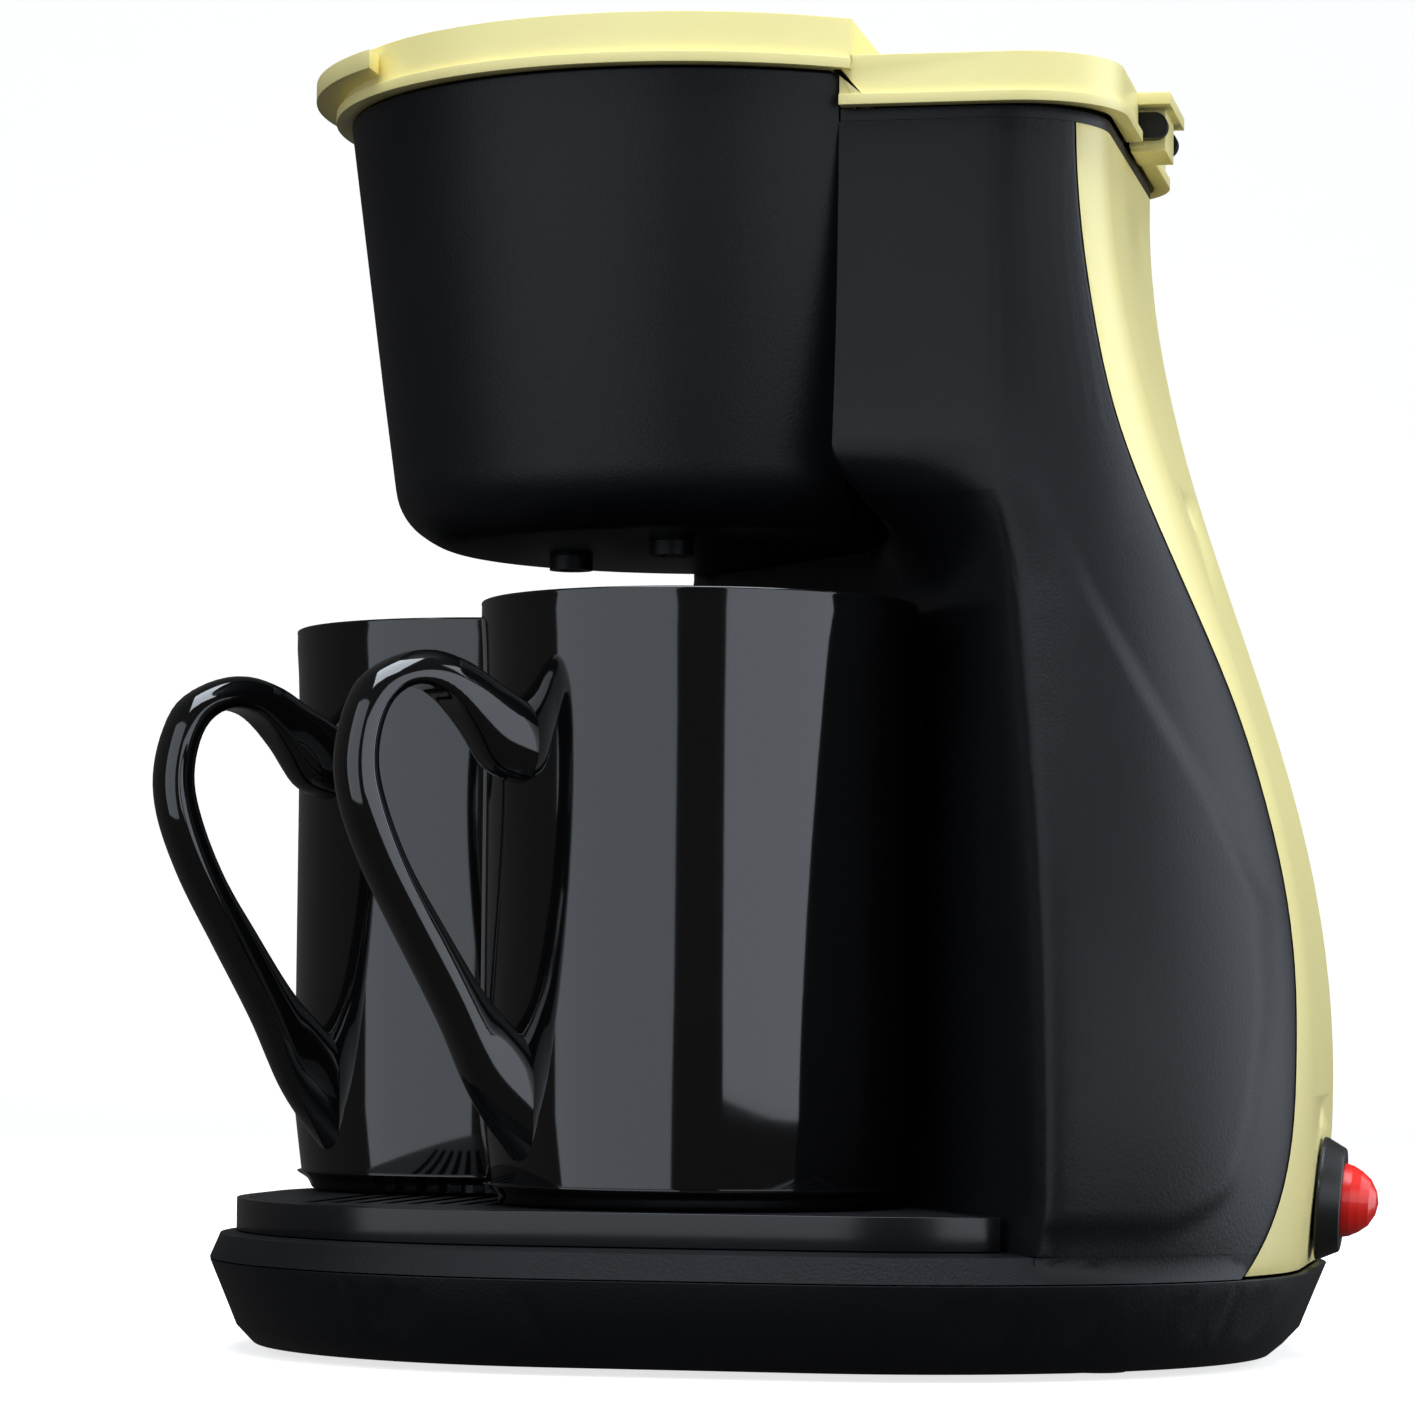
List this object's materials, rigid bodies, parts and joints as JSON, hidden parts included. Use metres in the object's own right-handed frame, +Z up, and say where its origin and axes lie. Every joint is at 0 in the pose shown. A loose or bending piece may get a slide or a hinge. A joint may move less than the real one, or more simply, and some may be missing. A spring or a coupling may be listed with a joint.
{
  "type": "drip coffee maker",
  "caption": "Small drip coffee maker with a round brew chamber over a diagonal cup bay, a hinged two-level lid, coloured rear cover, drip tray and pair of mugs.",
  "frame": {"origin": "on the resting plane, under the middle of the bounding box", "axes": "+Z up, -Y towards the lid's front lip, +Y towards the coloured rear cover and its button"},
  "size_m": [0.177, 0.2087, 0.219],
  "materials": {
    "black_plastic": "fine matte texture",
    "yellow_plastic": "light gloss",
    "tray_plastic": "gloss",
    "black_ceramic": "gloss glaze",
    "red_plastic": "satin",
    "switch_plastic": "satin",
    "rubber": "matte",
    "silicone": "translucent white, matte",
    "white_plastic": "matte",
    "tank_plastic": "satin",
    "aluminium": "cast, satin",
    "steel": "plain",
    "spring_steel": "bright",
    "brass": "satin",
    "wire_insulation": "matte"
  },
  "bodies": {
    "body": {"base_plate": "black_plastic", "housing": "black_plastic", "brew_chamber": "black_plastic", "outlet_near": "black_plastic", "outlet_far": "black_plastic", "tank_rim": "black_plastic", "rear_cover": "yellow_plastic", "rubber_feet": "rubber", "filter_basket": "black_plastic", "filter_ledge": "black_plastic", "mesh_filter": "steel", "filter_grip": "black_plastic", "hinge_pin": "black_plastic", "water_tank": "tank_plastic", "tank_seal": "silicone", "boiler_tube": "aluminium", "heating_element": "aluminium", "heater_clamps": "steel", "heater_bracket": "steel", "thermostat": "steel", "thermal_fuse": "white_plastic", "check_valve": "white_plastic", "cold_hose": "silicone", "riser_hose": "silicone", "hose_clips": "spring_steel", "spray_arm": "black_plastic", "switch_bezel": "switch_plastic", "switch_body": "switch_plastic", "button_spring": "spring_steel", "switch_terminals": "brass", "terminal_block": "white_plastic", "terminal_screws": "steel", "switch_wire": "wire_insulation", "thermostat_wire": "wire_insulation", "cord_bush": "rubber", "base_screws": "steel"},
    "lid": {"lid": "yellow_plastic"},
    "button": {"switch_button": "red_plastic"},
    "mug_near": {"mug_near": "black_ceramic"},
    "mug_far": {"mug_far": "black_ceramic"},
    "tray": {"drip_tray": "tray_plastic", "grille": "black_plastic"}
  },
  "joints": [
    {"name": "lid_hinge", "type": "hinge", "parent": "body", "child": "lid", "pos_m": [0, 0.0656, 0.2078], "axis": [-1, 0, 0], "range_deg": [0, 95]},
    {"name": "button_press", "type": "slide", "parent": "body", "child": "button", "axis": [0, -0.9969, 0.0785], "range_m": [0, 0.0025], "stiffness_N_per_m": 500},
    {"name": "mug_near_slide", "type": "slide", "parent": "body", "child": "mug_near", "axis": [0.6437, -0.7653, 0], "range_m": [0, 0.12]},
    {"name": "mug_far_slide", "type": "slide", "parent": "body", "child": "mug_far", "axis": [0.6437, -0.7653, 0], "range_m": [0, 0.12]},
    {"name": "tray_slide", "type": "slide", "parent": "body", "child": "tray", "axis": [0.6437, -0.7653, 0], "range_m": [0, 0.11]}
  ]
}
